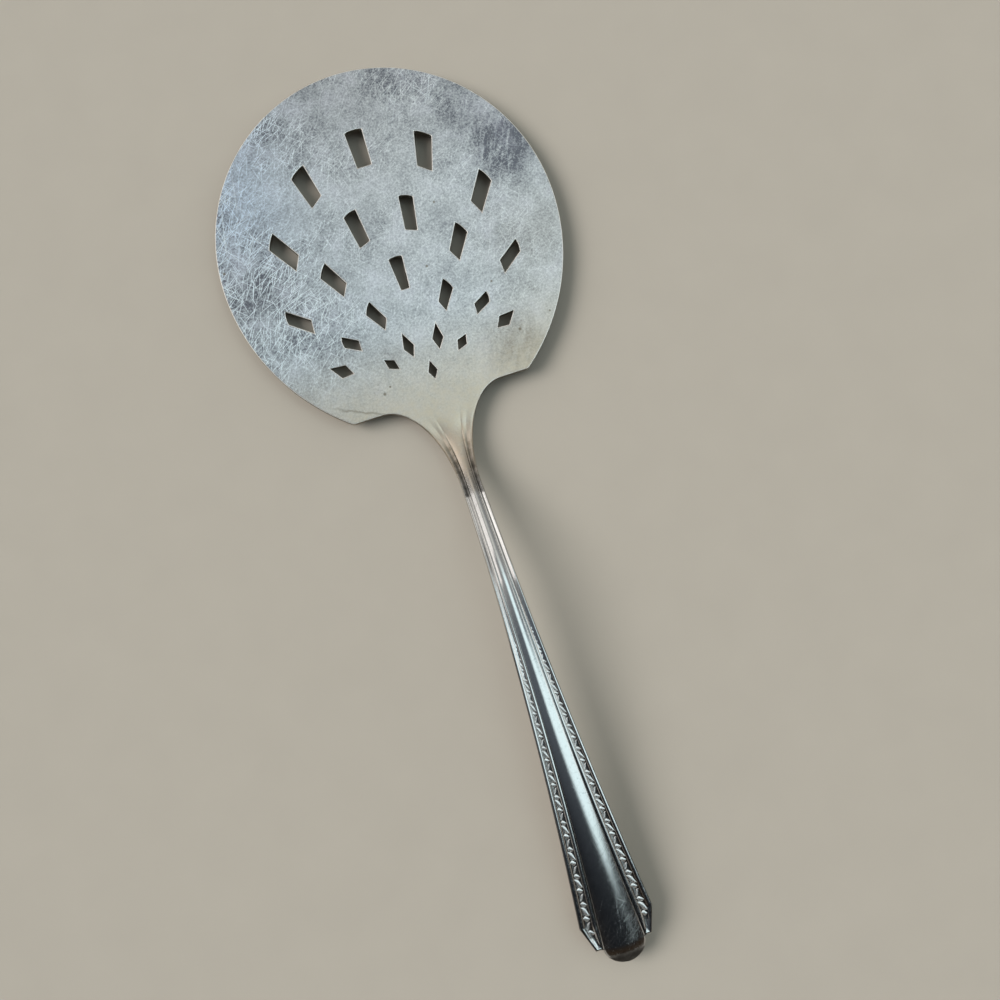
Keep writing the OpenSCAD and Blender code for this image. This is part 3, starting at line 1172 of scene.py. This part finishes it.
        # Painted shade: the tip's end and its side wall are darkened to stand for the shade that they
        # mirror.
        end_dark = self.tip_painted_shade * ease((self.panel_end_y - self.end_dark_from - y) / self.end_dark_run)
        found = []
        for k, (zone, share) in enumerate(stations):
            if zone is Zone.SPINE:
                x = (width - roll) * share
                found.append((x, top + self.tip_rise(x, turn), end_dark))
            elif zone is Zone.FOOT:
                found.append(self.foot_point(width, floor, foot, share))
            elif zone is Zone.BACK:
                found.append(((width - foot) * (1 - share), floor, 0.0))
            else:
                down = (k - border[0] + 1) / (len(border) + 1)
                x = width - roll
                start = (x, top + self.tip_rise(x, turn))
                dark = max(self.tip_painted_shade * ease(2 * down), end_dark)
                if down < 0.5:
                    found.append((*bend(start, (width, top), (width, top - roll), 2 * down), dark))
                else:
                    found.append((width, top - roll + (floor + foot - top + roll) * (2 * down - 1), dark))
        return y, found

    def build(self, finish: Silver) -> bpy.types.Object:
        """Model the handle and dress it.

        Args:
            finish: The worn silver that it takes.

        Returns:
            The finished piece.
        """
        stations = self.stations()
        rings = [(y, self.section(y, stations)) for y in self._places()]
        rings += [self.tip_section(math.radians(a), stations) for a in np.linspace(0, 90, self.tip_rings)]
        around = 2 * (len(stations) - 1)
        Bench.clear()
        bpy.ops.mesh.primitive_grid_add(x_subdivisions=around, y_subdivisions=len(rings) - 1, size=1)
        bar = Bench.take("handle_bar")
        mesh = bar.data
        flat = np.zeros(len(mesh.vertices) * 3)
        mesh.vertices.foreach_get("co", flat)
        flat = flat.reshape(-1, 3)
        column = np.rint((flat[:, 0] + 0.5) * around).astype(int)
        row = np.rint((flat[:, 1] + 0.5) * (len(rings) - 1)).astype(int)
        shape = np.zeros((len(rings), around + 1, 4))
        for r, (y, half) in enumerate(rings):
            for c in range(around + 1):
                k = abs(around // 2 - c)
                sign = 1 if c >= around // 2 else -1
                x, z, dark_patina_and_shade = half[k]
                shape[r, c] = (sign * x * MM, y * MM, z * MM, dark_patina_and_shade)
        mesh.vertices.foreach_set("co", shape[row, column, :3].ravel())
        patina_and_shade = mesh.attributes.new("patina_and_shade", "FLOAT", "POINT")
        patina_and_shade.data.foreach_set("value", shape[row, column, 3].astype(np.float32))
        mesh.update()
        Bench.pick(bar, lambda p: True)
        bpy.ops.mesh.remove_doubles(threshold=2e-6)
        Bench.pick(bar, lambda p: p.y > self.nose_y - 0.001)
        bpy.ops.mesh.edge_face_add()
        Bench.clear()
        Bench.settle(bar, self.smooth_angle)
        Bench.finish(bar, Slot.HANDLE, finish.material(), "handle")
        return bar

    def _places(self) -> list[float]:
        """List the places of the stem's cross-sections, closer together where the shape turns."""
        places = list(np.linspace(self.nose_y, self.flare.neck_y, self.flare_rings))
        places += list(np.linspace(self.flare.neck_y, self.corner_y, self.stem_rings))[1:]
        places += list(np.linspace(self.corner_y, self.panel_end_y, self.end_rings))[1:]
        return places


@dataclass
class LeafBorder:
    """Running border of leaves and buds, struck up from the floor of one panel."""

    handle: Handle
    side: Side
    leaf_y: float
    first_y: float = -92.4
    last_y: float = -34.0
    end_pitch: float = 6.0
    top_pitch: float = 4.2
    height: float = 0.19
    bury: float = 0.06
    stretch: float = 2.8
    taper: float = 0.55
    fade_past: float = 3.0
    fade_run: float = 9.0
    smooth_angle: float = 50.0

    def pattern(self) -> list[bpy.types.Object]:
        """Model one repeat of the border flat, with its pitch and the panel's width both as 1.

        Returns:
            A leaf, a lesser leaf that leans the other way, and two buds.
        """
        return [
            self._leaf("leaf", (0.0, 0.0), (0.50, 0.40), 0.24, 0.07, 1.0),
            self._leaf("bud", (0.25, -0.03), (0.10, 0.36), 0.25, 0.06, 0.8),
            self._leaf("leaf_back", (0.50, 0.0), (-0.33, 0.32), 0.14, -0.06, 0.65),
            self._leaf("bud_back", (0.75, 0.03), (0.10, 0.36), 0.25, 0.06, 0.8),
        ]

    def _leaf(
        self,
        name: str,
        centre: tuple[float, float],
        reach: tuple[float, float],
        half: float,
        curl: float,
        rise: float,
    ) -> bpy.types.Object:
        """Model one leaf from a ball: half of it is cut away, and the rest drawn out and curled.

        Args:
            name: Name of the form.
            centre: Its middle along the repeat and across the panel.
            reach: From its middle to its lower point, in widths of the panel.
            half: Its half width, in widths of the panel.
            curl: How far its points curl to the sides.
            rise: Its height.

        Returns:
            The form, flat side down.
        """
        Bench.clear()
        bpy.ops.mesh.primitive_uv_sphere_add(
            segments=20, ring_count=12, radius=1, rotation=(math.pi / 2, 0, 0)
        )
        form = Bench.take(name)
        bpy.ops.object.transform_apply(location=False, rotation=True, scale=False)
        Bench.pick(form, lambda p: True)
        bpy.ops.mesh.bisect(plane_co=(0, 0, 0), plane_no=(0, 0, 1), clear_inner=True, use_fill=True)
        Bench.clear()
        side = (reach[1] / math.hypot(*reach), -reach[0] / math.hypot(*reach))
        for vertex in form.data.vertices:
            along, across, up = vertex.co.y, vertex.co.x, vertex.co.z
            slim = 1 - self.taper * along ** 2
            swing = curl * math.sin(math.pi * along)
            u = centre[0] + (reach[0] * along + side[0] * (half * across * slim + swing)) / self.stretch
            v = centre[1] + reach[1] * along + side[1] * (half * across * slim + swing)
            vertex.co = (v, u, rise * up)
        return form

    def build(self, finish: Silver) -> bpy.types.Object:
        """Copy the repeat along the panel, lay each copy on the panel's floor and dress the border.

        Args:
            finish: The worn silver that it takes.

        Returns:
            The finished piece.
        """
        forms = self.pattern()
        copies = []
        y = self.leaf_y - self._pitch(self.leaf_y)
        while y < self.last_y:
            pitch = self._pitch(y)
            for form in forms:
                middle = np.mean([vertex.co.y for vertex in form.data.vertices])
                if y + pitch * (1 - middle) > self.first_y:
                    copies.append(self._lay(form, y, pitch))
            y += pitch
        for form in forms:
            bpy.data.objects.remove(form)
        border = Bench.join(copies, "leaf_border_" + self.side.name.lower())
        Bench.settle(border, self.smooth_angle)
        Bench.finish(border, Slot.HANDLE, finish.material())
        return border

    def _pitch(self, y: float) -> float:
        """Return the length of the repeat that starts at a place along the panel."""
        share = (self.last_y - y) / (self.last_y - self.first_y)
        return self.top_pitch + (self.end_pitch - self.top_pitch) * share

    def _lay(self, form: bpy.types.Object, start: float, pitch: float) -> bpy.types.Object:
        """Copy one form and lay it on the panel.

        Args:
            form: The flat form.
            start: Where its repeat starts along the panel.
            pitch: Length of its repeat.

        Returns:
            The copy, with a mesh of its own.
        """
        copy = form.copy()
        copy.data = form.data.copy()
        bpy.context.scene.collection.objects.link(copy)
        low, high = self.handle.inner_bead[1], self.handle.outer_bead[0]
        for vertex in copy.data.vertices:
            y = start + pitch * (1 - vertex.co.y)
            share = (low + high) / 2 + self.side.value * vertex.co.x * (high - low)
            x, z, _ = self.handle.surface(y, share)
            fade = ease((self.last_y + self.fade_past - y) / self.fade_run)
            lift = (self.height + self.bury) * fade * vertex.co.z - self.bury
            vertex.co = (self.side.value * x * MM, y * MM, (z + lift) * MM)
        return copy


@dataclass
class Studio:
    """Camera, pale floor and soft light round the object."""

    eye: Point = (-8.815, -32.927, 254.397)
    pitch: float = -7.5
    sway: float = 0.73
    turn: float = 18.496
    lens: float = 43.2
    sensor: float = 36.0
    floor_half: float = 3000.0
    floor_drop: float = 3.0
    key_from: Point = (-0.66, 0.22, 0.72)
    key_level: float = 2.7
    key_spread: float = 36.0
    near_clip: float = 5.0
    room_level: float = 1.2
    behind_low: Colour = (0.030, 0.020, 0.012)
    behind: Colour = (0.011, 0.013, 0.016)
    behind_high: Colour = (0.115, 0.135, 0.16)
    overhead: Colour = (0.34, 0.35, 0.355)
    window_near: Colour = (1.06, 1.30, 1.36)
    window_far: Colour = (0.66, 0.67, 0.64)
    ahead_side: Colour = (0.15, 0.135, 0.11)
    ahead_middle: Colour = (0.92, 0.83, 0.70)
    left_high: Colour = (1.18, 1.14, 1.11)
    left_low: Colour = (1.7, 1.65, 1.6)
    right_near: Colour = (1.10, 1.20, 1.22)
    right_middle: Colour = (0.62, 0.63, 0.62)
    right_far: Colour = (0.20, 0.205, 0.20)
    right_low: Colour = (1.3, 1.3, 1.26)
    horizon: Colour = (0.46, 0.44, 0.40)

    def build(self, finish: PaleFloor) -> None:
        """Set up the camera, the floor and the light."""
        self._camera()
        self._floor(finish)
        self._light()
        self._key()

    def _camera(self) -> None:
        """Place the camera at the photograph's angle."""
        data = bpy.data.cameras.new("camera")
        data.lens = self.lens
        data.sensor_width = self.sensor
        data.clip_start = self.near_clip * MM
        camera = bpy.data.objects.new("camera", data)
        bpy.context.scene.collection.objects.link(camera)
        into = (
            Matrix.Rotation(math.radians(self.pitch), 3, "X")
            @ Matrix.Rotation(math.radians(self.sway), 3, "Y")
            @ Matrix.Rotation(math.radians(self.turn), 3, "Z")
        )
        place = Matrix.Translation(Vector(self.eye) * MM)
        camera.matrix_world = place @ into.transposed().to_4x4()
        bpy.context.scene.camera = camera

    def _floor(self, finish: PaleFloor) -> None:
        """Lay the floor just under the blade."""
        Bench.clear()
        bpy.ops.mesh.primitive_plane_add(
            size=2 * self.floor_half * MM, location=(0, 0, -self.floor_drop * MM)
        )
        floor = Bench.take("floor")
        floor.data.materials.append(finish.material())

    def _light(self) -> None:
        """Light the object as in a room: bright overhead and at the sides, and dim behind the handle."""
        world = bpy.data.worlds.new("studio")
        world.use_nodes = True
        bpy.context.scene.world = world
        sketch = Sketch(world.node_tree)
        ray = sketch.out("ShaderNodeTexCoord", {}, {}, "Generated")
        axes = sketch.node("ShaderNodeSeparateXYZ", {}, {0: ray})
        dx, dy, dz = (Sock(sketch, axes.outputs[k]) for k in range(3))
        degrees = 180 / math.pi
        high = dz.most(0.02)
        across = sketch.out("ShaderNodeMath", {"operation": "ARCTAN2"}, {0: dx, 1: high}) * degrees
        along = sketch.out("ShaderNodeMath", {"operation": "ARCTAN2"}, {0: dy, 1: high}) * degrees
        behind = sketch.mix(along.step(-62, -34), self.behind_low, self.behind)
        tone = sketch.mix(along.step(-36, -6), behind, self.behind_high)
        tone = sketch.mix(along.step(-5, 4), tone, self.overhead)
        slant = across - 2 * (-16 - along).most(0.0)
        window = slant.step(-11, 8) * (1 - across.step(22, 36) * along.step(-12, -3)) * along.step(-36, -29)
        tone = sketch.mix(window, tone, sketch.mix(along.step(4, 34), self.window_near, self.window_far))
        front = ((dy - 0.134) / (dz + 0.99)).step(0.387, 0.400)
        left = (across * -1).step(28, 38) * along.step(4, 11)
        left = left.most((across * -1).step(9, 16) * along.step(27, 36))
        ahead = sketch.mix(across.band(-8, 12, 22), self.ahead_side, self.ahead_middle)
        right = across.step(48, 58) * along.step(-40, -20)
        tone = sketch.mix(left, tone, self.left_high)
        tone = sketch.mix(left * (across * -1).step(58, 68), tone, self.left_low)
        beside = sketch.mix(along.step(-6, 12), self.right_near, self.right_middle)
        tone = sketch.mix(right, tone, sketch.mix(along.step(14, 34), beside, self.right_far))
        tone = sketch.mix(right * across.step(66, 74), tone, self.right_low)
        tone = sketch.mix(front, tone, ahead)
        # The camera sees the plain horizon all round, and only the metal mirrors the room.
        seen = sketch.out("ShaderNodeLightPath", {}, {}, "Is Camera Ray")
        tone = sketch.mix((1 - dz.step(0.14, 0.30)).most(seen), tone, self.horizon)
        shade = sketch.out("ShaderNodeBackground", {}, {"Color": tone, "Strength": self.room_level})
        sketch.node("ShaderNodeOutputWorld", {}, {"Surface": shade})

    def _key(self) -> None:
        """Hang the soft key lamp on the left, which lights the floor and isn't mirrored by the metal."""
        data = bpy.data.lights.new("key", "SUN")
        data.energy = self.key_level
        data.angle = math.radians(self.key_spread)
        lamp = bpy.data.objects.new("key", data)
        lamp.rotation_euler = Vector(self.key_from).to_track_quat("Z", "Y").to_euler()
        lamp.visible_glossy = False
        bpy.context.scene.collection.objects.link(lamp)


def main() -> None:
    """Build the dressed tomato server around its frame."""
    logging.basicConfig(level=logging.INFO, format="%(name)s: %(message)s")
    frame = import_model()
    bpy.context.scene.view_settings.view_transform = "Standard"
    Studio().build(PaleFloor())
    Blade().build(Silver("blade_silver"))
    handle = Handle()
    handle.build(Silver("handle_silver"))
    for side, leaf_y in FIRST_LEAF_Y.items():
        LeafBorder(handle, side, leaf_y).build(
            Silver("leaf_silver_" + side.name.lower(), polish=(0.95, 0.94, 0.92), polish_rough=0.40)
        )
    film = frame["nodes"]["solder_film"]
    film.data.materials.clear()
    film.data.materials.append(Silver("solder_silver").material())
    LOG.info("solder_film: kept from the frame and dressed")


if __name__ == "__main__":
    main()
